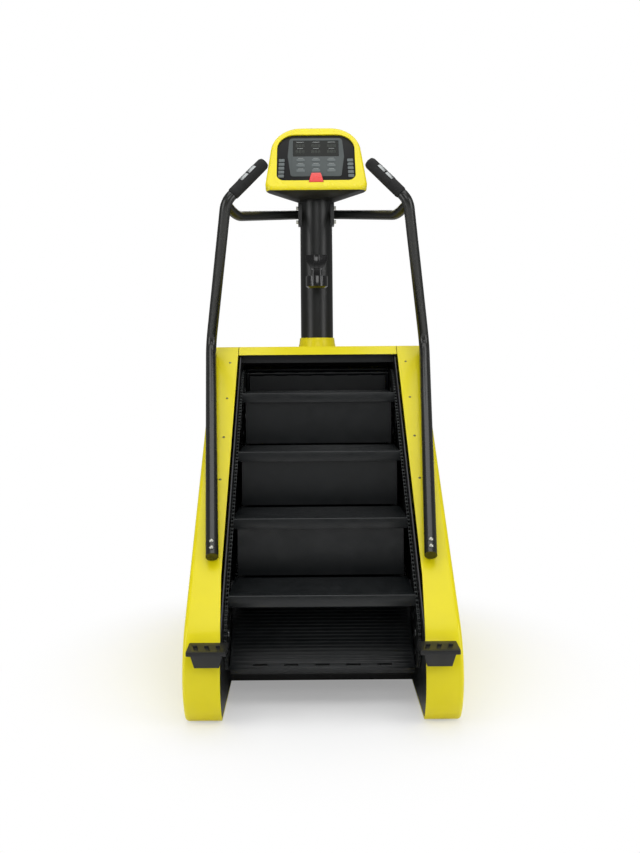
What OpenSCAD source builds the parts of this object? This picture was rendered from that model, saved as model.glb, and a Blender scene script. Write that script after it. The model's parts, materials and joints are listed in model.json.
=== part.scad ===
/* [Overall] */
// Length of the machine, from the foot pegs to the rear cover
overall_l = 1400; // [1380:5:1480]
// Width over the two side covers
overall_w = 850; // [830:5:900]
// Height of the deck that the column stands on
deck_z = 1155; // [1145:5:1180]
// Clear height between the floor and the covers
floor_gap = 8; // [6:1:14]

/* [Stairs] */
// Slope of the stairs and of the cover faces, in degrees
slope = 42.3; // [42:0.1:43]
// Width of a tread
tread_w = 594; // [560:2:600]
// Length of one link of the step chains
link = 15.875; // [15.7:0.025:15.95]
// Links between one step and the next
step_links = 19; // [19:1:19]
// Teeth on each lower sprocket
low_teeth = 42; // [41:1:42]
// Teeth on each upper sprocket
up_teeth = 74; // [73:1:75]
// Height of the front lip of a tread
lip_h = 36; // [32:1:38]

/* [Covers] */
// Radius of the rounded foot of the side covers
face_r = 205; // [200:1:208]
// Height of the centre of that rounded foot
nose_z = 158; // [155:1:162]
// Sheet thickness of the side covers
sheet = 3; // [2:0.5:4]
// Rounding between a cover's face and its outer side
edge_r = 14; // [8:1:20]

/* [Column and rails] */
// Outer diameter of the column
column_d = 138; // [130:1:142]
// Outer diameter of the handrail tube
rail_d = 42; // [38:1:44]
// Outer diameter of the foam grips
grip_d = 48; // [46:1:50]
// Height of the top of the column
column_top = 1788; // [1780:1:1796]

/* [Console] */
// Lean of the console face, from upright, in degrees
face_tilt = 28.7; // [24:0.1:32]
// How far the stop key stands out of its frame
stop_rise = 5; // [4:0.5:7]

/* [Foot pegs] */
// Width of a foot peg
peg_w = 118; // [104:1:124]
// Height of the top of a foot peg
peg_z = 260; // [250:1:270]
// How far a foot peg stands out past the rounded foot
peg_out = 64; // [56:1:72]

/* [Hidden] */
$fn = 48;

// The stairs lie along one sloping line, seen here from the side as [y, z].
up = [cos(slope), sin(slope)];
out = [-sin(slope), cos(slope)];
nose_y = -overall_l / 2 + peg_out + face_r;
nose_c = [nose_y, nose_z];
rear_y = overall_l / 2;
deck_y = nose_y - face_r * sin(slope)
    + (deck_z - nose_z - face_r * cos(slope)) / tan(slope);
half_w = overall_w / 2;
cover_in = 322.6;
cover_in_low = 310;
plate_in = 310;
plate_t = 4;

// The step chains run round the lower and the upper sprockets.
low_r = low_teeth * link / (2 * PI);
up_r = up_teeth * link / (2 * PI);
chain_in = 54;
low_along = 55.4;
links = 10 * step_links;
chain_l = links * link;
dr = up_r - low_r;
function free_run(n, s) = n == 0 ? s
    : free_run(n - 1, (chain_l - PI * (low_r + up_r) - 2 * atan(dr / s) * PI / 180 * dr) / 2);
free_l = free_run(4, 1040);
beta = atan(dr / free_l);
low_c = nose_c + low_along * up + (face_r - chain_in - low_r) * out;
up_c = nose_c + (low_along + free_l) * up + (face_r - chain_in - up_r) * out;
back_slope = slope - 2 * beta;
back_up = [cos(back_slope), sin(back_slope)];
up_arc = up_r * (180 + 2 * beta) * PI / 180;
function around(c, r, a) = c + r * [cos(a), sin(a)];
low_start = around(low_c, low_r, 90 + slope);
back_start = around(up_c, up_r, back_slope - 90);
// A point of the chain line, s along it from where the climbing run starts.
function chain_pt(s) =
    s < 0 ? chain_pt(s + chain_l)
    : s < free_l ? low_start + s * up
    : s < free_l + up_arc ? around(up_c, up_r, 90 + slope - (s - free_l) / up_r * 180 / PI)
    : s < 2 * free_l + up_arc ? back_start - (s - free_l - up_arc) * back_up
    : around(low_c, low_r, 270 + back_slope - (s - 2 * free_l - up_arc) / low_r * 180 / PI);

step_p = step_links * link;
step_run = step_p * cos(slope);
step_rise = step_p * sin(slope);
function step_s(k) = 3 * link + (4 - k) * step_p;
lower_tread_angle = 44.6;
top_tread_angle = -74.8;
rear_tread_angle = 219.2;
riser_4_angle = -12;
half_t = tread_w / 2;
axle_r = 7;
fit = 0.05;
lip_front = -22;
lip_top = 26;
plate_low = 12;
plate_top = 22;
rib_top = 24.6;
rib_p = 12.4;
knuckle_r = 11;
riser_l = 172;
roller_r = 14;
roller_x = 277;
roller_w = 14;

// Chain and sprocket widths, measured out from the middle of the machine.
chain_x = 303.5;
band_t = 1.5;
band_gap = 6;
disc_t = 5;
pin_r = 3;
tooth_h = 4;
root_in = 5.6;
shaft_r = 17.5;
stub_r = 15;

// Drive train on the left side and in the base.
driven_x = 346;
driven_r = 110;
pinion_r = 34;
jack_c = [nose_y + 940, 430];
jack_r = 12.5;
pulley_r = 95;
pulley_w = 24;
pulley_x = -262;
motor_c = [nose_y + 800, 165];
motor_pulley_r = 32;
motor_r = 78;
motor_l = 240;

column_y = nose_y + 995;
column_r = column_d / 2;
column_wall = 4;
rail_r = rail_d / 2;
grip_r = grip_d / 2;
core_r = 16;

// Handrail route on the right side: foot, bend at the deck, top corner and grip tip.
rail_foot = [353, nose_y + 4, 478];
rail_bend = [432, nose_y + 761, 1166];
rail_corner = [345, nose_y + 511, 1706];
grip_tip = [208, nose_y + 571, 1857];
bar_root = [84, column_y - 6, 1722];
bar_knee = [318, nose_y + 591, 1661];
bar_bend = 45;
bracket_z = 1722;

con_y = nose_y + 796;
con_z = 1808;
con_cut = 1797;
bezel_face = -5;
key_face = -3.4;
peg_x = 345;
base_h = 40;
base_l = rear_y - nose_y + 49;
front_bar_y = nose_y + 181;

// Transport wheels at the back, and the rocker switch beside the power inlet.
wheel_x = 261;
wheel_w = 34;
wheel_r = 25;
wheel_axle_r = 6;
wheel_c = [rear_y - 40, 34];
switch_c = [rear_y - 12, 131];

function unit(v) = v / norm(v);
function mix(a, b, t) = a + (b - a) * t;
// Points of a smooth bend that starts at a, turns at b and ends at c.
function bend(a, b, c, n) = [for (i = [0:n]) mix(mix(a, b, i / n), mix(b, c, i / n), i / n)];
// The point on the way from b to a that lies d from b.
function short_of(a, b, d) = b + unit(a - b) * d;

// A round tube or bar of radius r along the points of path.
module sweep(path, r, side, sides = 24) {
    n = len(path);
    rings = [for (i = [0:n - 1])
        let (t = unit(path[min(i + 1, n - 1)] - path[max(i - 1, 0)]))
        let (e = unit(cross(t, side)))
        let (f = cross(t, e))
        [for (j = [0:sides - 1])
            path[i] + r * (cos(360 * j / sides) * e + sin(360 * j / sides) * f)]];
    points = [for (ring = rings) for (p = ring) p];
    walls = [for (i = [0:n - 2]) for (j = [0:sides - 1])
        let (a = i * sides + j)
        let (b = i * sides + (j + 1) % sides)
        [a, a + sides, b + sides, b]];
    caps = [[for (j = [0:sides - 1]) j], [for (j = [sides - 1:-1:0]) (n - 1) * sides + j]];
    polyhedron(points, concat(walls, caps));
}

// Draws a side view, given as [y, z], from x0 to x1.
module across(x0, x1) {
    translate([x0, 0, 0]) rotate([90, 0, 90]) linear_extrude(x1 - x0) children();
}

module rod(x0, x1, c, r) {
    translate([x0, c[0], c[1]]) rotate([0, 90, 0]) cylinder(r = r, h = x1 - x0);
}

module both_sides() {
    children();
    mirror([1, 0, 0]) children();
}

// Side view of a cover: rounded foot, sloping face, flat deck and upright back.
module profile(inset) {
    r = face_r - inset;
    low = floor_gap + inset;
    top = deck_z - inset;
    back = rear_y - inset;
    knee = nose_c + r * out;
    brow = knee + (top - knee[1]) / sin(slope) * up;
    intersection() {
        union() {
            translate(nose_c) circle(r, $fn = 96);
            polygon([nose_c, knee, brow, [back, top], [back, low], [nose_y, low]]);
        }
        translate([-overall_l, low]) square([2 * overall_l, deck_z]);
    }
}

// ---- Frame ----

module base_frame() {
    color("#1c1e1f") difference() {
        union() {
            both_sides() translate([318, nose_y - 70, 14]) cube([44, base_l, base_h]);
            translate([-318, front_bar_y, 14]) cube([636, 40, base_h - 12]);
            translate([-318, rear_y - 110, 14]) cube([636, 40, base_h]);
            translate([-318, motor_c[0] - 60, 14]) cube([636, 120, 6]);
            both_sides() translate([250, rear_y - 70, 20]) cube([10, 46, 34]);
            both_sides() translate([296, rear_y - 70, 20]) cube([10, 46, 34]);
            both_sides() rod(wheel_x - 15, wheel_x + wheel_w + 15, wheel_c, wheel_axle_r);
        }
        // The two long rails are open tubes.
        both_sides() translate([321, nose_y - 71, 17]) cube([38, base_l + 2, base_h - 6]);
        both_sides() for (y = [nose_y - 40, rear_y - 160])
            translate([340, y, 0]) cylinder(r = 6, h = 80);
    }
}

// One side plate, with the tracks that carry the back rollers of the steps.
module side_plate() {
    track_in = step_run * sin(slope) + roller_r + 0.3;
    track_start = 178;
    track_l = 1010;
    difference() {
        union() {
            across(plate_in, plate_in + plate_t) profile(sheet + 5.5);
            translate([0, low_start[0], low_start[1]]) rotate([slope, 0, 0]) {
                translate([roller_x - 9, track_start, -track_in - 10]) cube([18, track_l - track_start, 10]);
                for (a = [track_start + 30, 500, 790])
                    translate([roller_x, a, -track_in - 10]) cube([plate_in - roller_x, 30, 8]);
            }
        }
        rod(plate_in - 1, plate_in + 6, low_c, stub_r + fit);
        rod(plate_in - 1, plate_in + 6, up_c, shaft_r + 8);
        rod(plate_in - 1, plate_in + 6, jack_c, jack_r + 6);
        // Notches for the two cross bars and the motor plate of the base: start, length, top.
        for (bar = [[front_bar_y, 40, base_h + 2], [rear_y - 110, 40, base_h + 14], [motor_c[0] - 60, 120, 20]])
            translate([plate_in - 1, bar[0] - 0.5, -1]) cube([plate_t + 2, bar[1] + 1, bar[2] + 1.5]);
    }
}

module side_plate_left() {
    color("#22262a") mirror([1, 0, 0]) side_plate();
}

module side_plate_right() {
    color("#22262a") side_plate();
}

module top_frame() {
    bar_low = deck_z - 66;
    color("#1f2123") difference() {
        union() {
            translate([-plate_in, deck_y + 14, bar_low]) cube([2 * plate_in, 28, 32]);
            translate([-plate_in, rear_y - 60, bar_low]) cube([2 * plate_in, 40, 32]);
            both_sides() translate([60, deck_y + 42, bar_low + 22]) cube([70, rear_y - 102 - deck_y, 10]);
            translate([-130, column_y - 85, bar_low + 32]) cube([260, 170, 10]);
        }
        for (x = [-95, 95]) for (y = [-60, 60])
            translate([x, column_y + y, bar_low + 20]) cylinder(r = 6.5, h = 40);
    }
}

// ---- Covers ----

// Cover sheet with a rounded outer edge; the inner side is open towards the side plate.
module cover_body(inset) {
    x_out = half_w - inset;
    hull() {
        across(cover_in_low - inset, x_out - edge_r) profile(inset);
        across(x_out - edge_r, x_out - edge_r * 0.62) profile(inset + edge_r * 0.08);
        across(x_out - edge_r, x_out - edge_r * 0.29) profile(inset + edge_r * 0.29);
        across(x_out - edge_r, x_out - edge_r * 0.08) profile(inset + edge_r * 0.62);
        across(x_out - edge_r, x_out) profile(inset + edge_r);
    }
}

module side_cover() {
    intersection() {
        difference() {
            cover_body(0);
            cover_body(sheet);
        }
        // The face widens inwards near the foot.
        translate([0, overall_l, 0]) rotate([90, 0, 0]) linear_extrude(2 * overall_l)
            polygon([[cover_in_low, 0], [cover_in_low, 250], [cover_in, 420],
                [cover_in, deck_z], [half_w, deck_z], [half_w, 0]]);
        // Everything but the holes for the levelling feet and the rail bolts.
        difference() {
            translate([0, -overall_l, 0]) cube([overall_w, 2 * overall_l, deck_z + 1]);
            for (y = [nose_y - 40, rear_y - 160]) translate([340, y, -1]) cylinder(r = 12, h = 20);
            rail_bolt_holes();
        }
    }
}

module cover_left() {
    color("#ded61a") mirror([1, 0, 0]) side_cover();
}

module cover_right() {
    color("#ded61a") side_cover();
}

module top_panel() {
    lip = 33;
    color("#e4da1c") difference() {
        union() {
            across(2.5 - cover_in, cover_in - 2.5) polygon([
                [deck_y + 2, deck_z], [deck_y - lip / tan(slope) + 2, deck_z - lip],
                [deck_y - lip / tan(slope) + 7, deck_z - lip], [deck_y + 5, deck_z - sheet],
                [rear_y - 4, deck_z - sheet], [rear_y - 4, deck_z]]);
        }
        translate([0, column_y, deck_z - 20]) cylinder(r = column_r + 2, h = 40, $fn = 96);
    }
}

module rear_cover() {
    slots = 9;
    color("#1b1c1d") difference() {
        translate([1 - cover_in, rear_y - 8, floor_gap + 50])
            cube([2 * cover_in - 2, 4, deck_z - floor_gap - 60]);
        for (side = [-1, 1]) for (i = [0:slots - 1])
            translate([side * 150 - 70, rear_y - 9, 640 + 22 * i]) cube([140, 6, 8]);
        translate([-180, rear_y - 9, 120]) cube([48, 6, 28]);
        translate([-100, rear_y - 9, 120]) cube([28, 6, 22]);
    }
}

// A place on the sloping face of the covers, a along the slope.
module on_face(x, a) {
    p = nose_c + face_r * out + a * up;
    translate([x, p[0], p[1]]) rotate([slope, 0, 0]) children();
}

module cover_screws() {
    color("#c9c9bd") both_sides() for (i = [0:3])
        on_face(352, 563 + 200 * i) difference() {
            intersection() {
                cylinder(r = 5, h = 3);
                translate([0, 0, -3.5]) sphere(r = 6);
            }
            translate([0, 0, 1.2]) cylinder(r = 1.8, h = 3, $fn = 6);
        }
}

module levelling_feet() {
    color("#202020") both_sides() for (y = [nose_y - 40, rear_y - 160])
        translate([340, y, 0]) {
            cylinder(r = 20, h = 8);
            cylinder(r = 6 - fit, h = 66);
            translate([0, 0, 8]) cylinder(r = 10, h = 5, $fn = 6);
        }
}

module transport_wheel() {
    color("#2a2a2a") difference() {
        union() {
            rod(wheel_x, wheel_x + wheel_w, wheel_c, wheel_r - 3);
            rod(wheel_x + 5, wheel_x + wheel_w - 5, wheel_c, wheel_r);
        }
        rod(wheel_x - 1, wheel_x + wheel_w + 1, wheel_c, wheel_axle_r + fit);
    }
}

module transport_wheel_left() {
    mirror([1, 0, 0]) transport_wheel();
}

module transport_wheel_right() {
    transport_wheel();
}

// ---- Steps ----

// Puts a step's piece at its nose axle, with +Y along the piece.
module at_step(k, angle) {
    p = chain_pt(step_s(k));
    translate([0, p[0], p[1]]) rotate([angle, 0, 0]) children();
}

module tread() {
    slots = 5;
    slot_p = 100;
    slot_w = 46;
    color("#22282a") difference() {
        union() {
            translate([-half_t, lip_front, lip_top - lip_h]) cube([tread_w, 6, lip_h - 2]);
            rod(-half_t, half_t, [lip_front + 4, lip_top - 4], 4);
            translate([-half_t, lip_front + 4, plate_low]) cube([tread_w, step_run + 24, plate_top - plate_low]);
            translate([-half_t, lip_front + 4, lip_top - 5]) cube([tread_w, 10, 4.8]);
            for (i = [0:17])
                translate([-half_t + 8, -4 + rib_p * i, plate_top - 1])
                    cube([tread_w - 16, 6, rib_top - plate_top + 1]);
            for (x = [-half_t, half_t - 9]) hull() {
                rod(x, x + 9, [0, 0], knuckle_r);
                rod(x, x + 9, [step_run, 0], knuckle_r);
                translate([x, 0, 0]) cube([9, step_run, plate_low + 2]);
            }
            rod(-half_t + 9, half_t - 9, [step_run, 0], axle_r);
        }
        for (i = [0:slots - 1])
            translate([(i - 2) * slot_p - slot_w / 2, -14, plate_low - 1]) cube([slot_w, 9, 20]);
        rod(-half_t - 1, half_t + 1, [0, 0], axle_r + fit);
        for (s = [-1, 1]) difference() {
            rod(s * roller_x - roller_w / 2 - 1, s * roller_x + roller_w / 2 + 1,
                [step_run, 0], roller_r + 1);
            rod(s * roller_x - roller_w, s * roller_x + roller_w, [step_run, 0], axle_r);
        }
    }
    color("#3a3d3e") for (s = [-1, 1]) difference() {
        rod(s * roller_x - roller_w / 2, s * roller_x + roller_w / 2, [step_run, 0], roller_r);
        rod(s * roller_x - roller_w, s * roller_x + roller_w, [step_run, 0], axle_r + fit);
    }
}

module riser() {
    knuckles = 6;
    knuckle_w = 50;
    color("#23292c") difference() {
        union() {
            translate([-half_t + 12, 8, -3]) cube([tread_w - 24, riser_l - 8, 5]);
            translate([-half_t + 12, riser_l - 6, -3]) cube([tread_w - 24, 6, 9]);
            for (i = [0:knuckles - 1])
                rod((i - 2.5) * 100 - knuckle_w / 2, (i - 2.5) * 100 + knuckle_w / 2, [0, 0], knuckle_r - 0.5);
        }
        rod(-half_t, half_t, [0, 0], axle_r + fit);
    }
}

// A riser folded flat under its own tread.
module folded_riser() {
    color("#23292c") difference() {
        union() {
            translate([-half_t + 12, 8, -9]) cube([tread_w - 24, riser_l - 8, 5]);
            for (i = [0:5])
                rod((i - 2.5) * 100 - 25, (i - 2.5) * 100 + 25, [0, 0], knuckle_r - 0.5);
        }
        rod(-half_t, half_t, [0, 0], axle_r + fit);
    }
}

module nose_axle() {
    color("#8f9396") rod(-half_t - 1.5, half_t + 1.5, [0, 0], axle_r);
}

module tread_1() {
    at_step(1, 0) tread();
}

module tread_2() {
    at_step(2, 0) tread();
}

module tread_3() {
    at_step(3, 0) tread();
}

module tread_4() {
    at_step(4, 0) tread();
}

module tread_5() {
    at_step(5, lower_tread_angle) tread();
}

module treads_return() {
    for (k = [6:8]) at_step(k, back_slope + 180) {
        tread();
        nose_axle();
    }
}

module treads_top() {
    at_step(0, top_tread_angle) {
        tread();
        nose_axle();
    }
    at_step(9, rear_tread_angle) {
        tread();
        nose_axle();
    }
}

module risers_incline() {
    for (k = [1:3]) at_step(k, -90) riser();
}

module riser_4() {
    at_step(4, riser_4_angle) riser();
}

module riser_5() {
    at_step(5, lower_tread_angle) folded_riser();
}

module risers_return() {
    for (k = [6:8]) at_step(k, back_slope + 180) folded_riser();
}

module risers_top() {
    at_step(0, -90) riser();
    at_step(9, rear_tread_angle) folded_riser();
}

module step_axles() {
    for (k = [1:4]) at_step(k, 0) nose_axle();
}

module lower_step_axle() {
    at_step(5, 0) nose_axle();
}

// ---- Chains and sprockets ----

module sprocket(c, teeth, r, phase, bore) {
    root_r = r - root_in;
    tip_r = r + tooth_h;
    tooth = [[root_r, -3.2], [r, -2.3], [tip_r, -1.1], [tip_r, 1.1], [r, 2.3], [root_r, 3.2]];
    difference() {
        across(chain_x - disc_t / 2, chain_x + disc_t / 2) translate(c) polygon([
            for (i = [0:teeth - 1])
                let (a = phase + (i + 0.5) * 360 / teeth)
                for (p = tooth) p[0] * [cos(a), sin(a)] + p[1] * [-sin(a), cos(a)]]);
        rod(chain_x - 10, chain_x + 10, c, bore);
        for (i = [0:5])
            rod(chain_x - 10, chain_x + 10, around(c, r * 0.6, 60 * i + 30), r * 0.17);
    }
}

module lower_sprockets() {
    color("#7d8082") both_sides() sprocket(low_c, low_teeth, low_r, 90 + slope, stub_r + fit);
}

module lower_axles() {
    color("#9a9d9f") both_sides() {
        rod(chain_x - 4, plate_in + 4, low_c, stub_r);
        rod(plate_in + 4, plate_in + 12, low_c, 30);
    }
}

module upper_sprockets() {
    phase = 90 + slope + free_l / up_r * 180 / PI;
    color("#7d8082") both_sides() sprocket(up_c, up_teeth, up_r, phase, shaft_r);
}

module drive_shaft() {
    color("#a3a6a8") rod(-driven_x - 14, plate_in + 34, up_c, shaft_r - 0.01);
}

module bearings() {
    color("#6b6f73") both_sides() difference() {
        union() {
            rod(plate_in + plate_t, plate_in + plate_t + 22, up_c, 36);
            translate([plate_in + plate_t, up_c[0] - 52, up_c[1] - 52]) cube([8, 104, 104]);
        }
        rod(plate_in, plate_in + 40, up_c, shaft_r + fit);
        for (y = [-40, 40]) for (z = [-40, 40])
            rod(plate_in, plate_in + 40, up_c + [y, z], 5.5);
    }
    color("#6b6f73") difference() {
        rod(-plate_in - plate_t - 20, -plate_in - plate_t, jack_c, 32);
        rod(-plate_in - 40, -plate_in, jack_c, jack_r + fit);
    }
}

// Side view of a loop round two wheels, its line offset d outwards.
module loop_side(c1, r1, c2, r2, d) {
    hull() {
        translate(c1) circle(r1 + d, $fn = 72);
        translate(c2) circle(r2 + d, $fn = 72);
    }
}

module loop_band(c1, r1, c2, r2, thick) {
    difference() {
        loop_side(c1, r1, c2, r2, thick);
        loop_side(c1, r1, c2, r2, -thick);
    }
}

module step_chains() {
    color("#85888a") both_sides() {
        difference() {
            across(chain_x - band_gap / 2 - band_t, chain_x + band_gap / 2 + band_t)
                loop_band(low_c, low_r, up_c, up_r, 5);
            translate([chain_x - band_gap / 2, -overall_l, 0]) cube([band_gap, 2 * overall_l, 2 * deck_z]);
        }
        for (i = [0:links - 1])
            rod(chain_x - band_gap / 2, chain_x + band_gap / 2, chain_pt(i * link), pin_r);
    }
}

module driven_sprocket() {
    color("#6f7375") difference() {
        union() {
            rod(-driven_x - 3, -driven_x + 3, up_c, driven_r - 3);
            rod(-driven_x - 10, -driven_x + 10, up_c, 34);
        }
        rod(-driven_x - 20, -driven_x + 20, up_c, shaft_r);
        for (i = [0:4])
            rod(-driven_x - 20, -driven_x + 20, around(up_c, 70, 72 * i), 17);
    }
}

module drive_chain() {
    color("#777a7c") across(-driven_x - 4, -driven_x + 4)
        loop_band(jack_c, pinion_r, up_c, driven_r, 2.5);
}

module jackshaft() {
    color("#8b8e90") {
        rod(-driven_x - 12, pulley_x + 40, jack_c, jack_r);
        rod(-driven_x - 3, -driven_x + 3, jack_c, pinion_r - 3);
        rod(pulley_x - pulley_w / 2, pulley_x + pulley_w / 2, jack_c, pulley_r - 3);
    }
}

module drive_belt() {
    color("#151515") across(pulley_x - pulley_w / 2 + 2, pulley_x + pulley_w / 2 - 2)
        loop_band(motor_c, motor_pulley_r, jack_c, pulley_r, 2.5);
}

module motor() {
    x0 = pulley_x + pulley_w / 2 + 12;
    color("#4b5054") difference() {
        union() {
            rod(x0, x0 + motor_l, motor_c, motor_r);
            rod(x0 + motor_l, x0 + motor_l + 24, motor_c, motor_r - 12);
            translate([x0 + 30, motor_c[0] - 50, 20]) cube([motor_l - 60, 100, motor_c[1] - 20]);
            translate([x0 + 60, motor_c[0] - 45, motor_c[1] + 40]) cube([110, 90, motor_r]);
            rod(x0 - 14 - pulley_w, x0, motor_c, 11);
        }
        for (i = [0:11])
            translate([x0 + 12 + i * 18, motor_c[0], motor_c[1]]) rotate([0, 90, 0]) difference() {
                cylinder(r = motor_r + 1, h = 8);
                cylinder(r = motor_r - 5, h = 8);
                translate([-motor_r - 70, -50, -1]) cube([motor_r + 40, 100, 10]);
                translate([20, -55, -1]) cube([motor_r + 40, 110, 10]);
            }
    }
}

module motor_pulley() {
    color("#8b8e90") difference() {
        rod(pulley_x - pulley_w / 2, pulley_x + pulley_w / 2, motor_c, motor_pulley_r - 3);
        rod(pulley_x - pulley_w, pulley_x + pulley_w, motor_c, 11 + fit);
    }
}

module control_box() {
    color("#3c4043") difference() {
        translate([80, rear_y - 170, 54]) cube([180, 90, 220]);
        for (i = [0:7]) translate([79, rear_y - 150, 90 + i * 18]) cube([6, 50, 8]);
    }
}

// The inlet socket, and the housing and pin that hold the rocker switch.
module power_inlet() {
    color("#161616") {
        difference() {
            union() {
                translate([-179.5, rear_y - 30, 120.5]) cube([47, 26, 27]);
                translate([-183, rear_y - 4, 117]) cube([54, 2, 34]);
            }
            translate([-172, rear_y - 22, 124]) cube([32, 24, 20]);
        }
        difference() {
            translate([-104, rear_y - 26, 116]) cube([36, 17.8, 30]);
            translate([-99.5, rear_y - 23, 120]) cube([27, 24, 22]);
        }
        rod(-101, -71, switch_c, 1.5);
    }
}

module power_switch() {
    color("#b3221c") difference() {
        across(-99, -73) translate(switch_c) polygon([
            [-4, -7.5], [9, -9.5], [9.5, 0], [11.5, 8], [-4, 7]]);
        rod(-100, -72, switch_c, 1.5 + fit);
    }
}

// ---- Column and rails ----

module column() {
    flange_z = deck_z - 24;
    color("#26292a") difference() {
        union() {
            translate([0, column_y, flange_z]) cylinder(r = column_r, h = column_top - flange_z, $fn = 96);
            translate([-120, column_y - 80, flange_z]) cube([240, 160, 10]);
        }
        translate([0, column_y, flange_z - 1])
            cylinder(r = column_r - column_wall, h = column_top - flange_z + 2, $fn = 96);
        for (x = [-95, 95]) for (y = [-60, 60])
            translate([x, column_y + y, flange_z - 1]) cylinder(r = 6.5, h = 12);
    }
}

module column_collar() {
    collar_h = 37;
    color("#e4da1c") translate([0, column_y, deck_z]) difference() {
        rotate_extrude($fn = 96) polygon([
            [column_r + 0.5, 0], [column_r + 10, 0], [column_r + 9.5, 5], [column_r + 7, 14],
            [column_r + 5, collar_h - 3], [column_r + 3, collar_h], [column_r + 0.5, collar_h]]);
    }
}

// A moulded holder on the front of the column: two wings, a waist and a low round cup.
module bottle_holder() {
    y0 = column_y - column_r;
    cup_y = y0 - 44;
    cup_r = 46;
    cup_h = 50;
    low_z = 1398;
    high_z = 1542;
    color("#0c0c0d") difference() {
        union() {
            translate([0, cup_y, low_z + 8]) cylinder(r = cup_r, h = cup_h - 8, $fn = 64);
            translate([0, cup_y, low_z]) cylinder(r1 = cup_r - 9, r2 = cup_r, h = 8, $fn = 64);
            translate([0, y0 + 4, low_z]) rotate([90, 0, 0]) linear_extrude(14) polygon([
                [-48, 144], [48, 144], [46, 122], [18, 76], [18, 62], [32, 26],
                [-32, 26], [-18, 62], [-18, 76], [-46, 122]]);
            for (s = [-1, 1]) translate([s * 10 - 2, y0 - 14, low_z + 62]) cube([4, 10, 82]);
            translate([-30, y0 - 40, low_z + 20]) cube([60, 38, cup_h - 20]);
        }
        translate([0, cup_y, low_z + 7]) cylinder(r = cup_r - 3, h = 80, $fn = 64);
        // The cup's rim dips at the front.
        translate([-60, cup_y - cup_r - 30, low_z + 66]) rotate([0, 90, 0]) cylinder(r = 34, h = 120, $fn = 64);
        translate([0, column_y, low_z - 1]) cylinder(r = column_r + 0.3, h = high_z - low_z + 2, $fn = 96);
    }
}

rail_path = concat(
    [rail_foot],
    bend(short_of(rail_foot, rail_bend, 60), rail_bend, short_of(rail_corner, rail_bend, 60), 8),
    bend(short_of(rail_bend, rail_corner, 34), rail_corner, short_of(grip_tip, rail_corner, 34), 10));
grip_start = short_of(grip_tip, rail_corner, 34);
grip_len = norm(grip_tip - grip_start);
grip_way = unit(grip_tip - grip_start);

module rail_core() {
    sweep([grip_start - grip_way * 2, grip_tip - grip_way * 6], core_r, [0, 1, 0]);
}

module handrail() {
    inner = concat([mix(rail_path[0], rail_path[1], 0.01)], [for (i = [1:len(rail_path) - 1]) rail_path[i]]);
    difference() {
        union() {
            sweep(rail_path, rail_r, [1, 0, 0]);
            rail_core();
        }
        sweep(inner, rail_r - 3, [1, 0, 0]);
        rail_bolt_holes();
    }
}

module rail_bolt_holes() {
    way = unit(rail_bend - rail_foot);
    for (a = [22, 48]) {
        p = rail_foot + way * a;
        translate(p) rotate([slope, 0, 0]) translate([0, 0, -40]) cylinder(r = 4.3, h = 80, $fn = 24);
    }
}

module handrail_left() {
    color("#3d3e38") mirror([1, 0, 0]) handrail();
}

module handrail_right() {
    color("#3d3e38") handrail();
}

module crossbar() {
    join = short_of(rail_bend, rail_corner, 6);
    path = concat([bar_root], bend(short_of(bar_root, bar_knee, bar_bend), bar_knee, join, 10));
    difference() {
        sweep(path, rail_r - 1.5, [0, 0, 1]);
        sweep(rail_path, rail_r + 0.05, [1, 0, 0]);
        sweep(concat([bar_root + unit(bar_root - bar_knee) * 5],
            bend(short_of(bar_root, bar_knee, bar_bend), bar_knee, join, 10)), rail_r - 4.5, [0, 0, 1]);
    }
    difference() {
        translate([column_r - 14, column_y - 32, bracket_z - 48]) cube([22, 64, 96]);
        translate([0, column_y, bracket_z - 60]) cylinder(r = column_r + 0.05, h = 120, $fn = 96);
        for (z = [-30, 30]) translate([0, column_y + 6, bracket_z + z]) rotate([0, 90, 0])
            cylinder(r = 4.3, h = 120, $fn = 24);
    }
}

module crossbars() {
    color("#1f2122") both_sides() crossbar();
}

module rail_bolts() {
    way = unit(rail_bend - rail_foot);
    color("#b9bbb8") both_sides() {
        for (a = [22, 48]) translate(rail_foot + way * a) rotate([slope, 0, 0]) {
            translate([0, 0, -32]) cylinder(r = 4, h = 54);
            translate([0, 0, rail_r + 0.4]) intersection() {
                cylinder(r = 7.5, h = 6);
                translate([0, 0, -3]) sphere(r = 9);
            }
            translate([0, 0, -28]) cylinder(r = 9, h = 6.6);
        }
        for (z = [-30, 30]) translate([column_r + 8, column_y + 6, bracket_z + z])
            rotate([0, 90, 0]) cylinder(r = 7.5, h = 9, $fn = 6);
    }
}

module grip() {
    difference() {
        sweep([grip_start + grip_way, grip_tip - grip_way * 5], grip_r, [0, 1, 0]);
        sweep([grip_start, grip_tip - grip_way * 5.4], core_r + 0.2, [0, 1, 0]);
    }
    translate(grip_tip - grip_way * 5) point_along(grip_way) intersection() {
        sphere(r = grip_r);
        translate([-grip_r, -grip_r, 0]) cube(2 * grip_r);
    }
}

// Turns +Z to the direction way.
module point_along(way) {
    rotate([0, acos(way[2]), atan2(way[1], way[0])]) children();
}

module grip_left() {
    color("#1a1b1a") mirror([1, 0, 0]) grip();
}

module grip_right() {
    color("#1a1b1a") grip();
}

// Heart-rate plates: two bent sheets on each grip, on its outer upper side.
module sensor_plates() {
    plate_l = 36;
    color("#d4d6d4") both_sides()
        for (a = [grip_len * 0.36, grip_len * 0.36 + plate_l + 7])
            translate(grip_start + grip_way * a) point_along(grip_way) rotate([0, 0, 125])
                rotate_extrude(angle = 110, $fn = 64)
                translate([grip_r + 0.1, 0]) square([1.1, plate_l]);
}

// ---- Foot pegs ----

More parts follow.
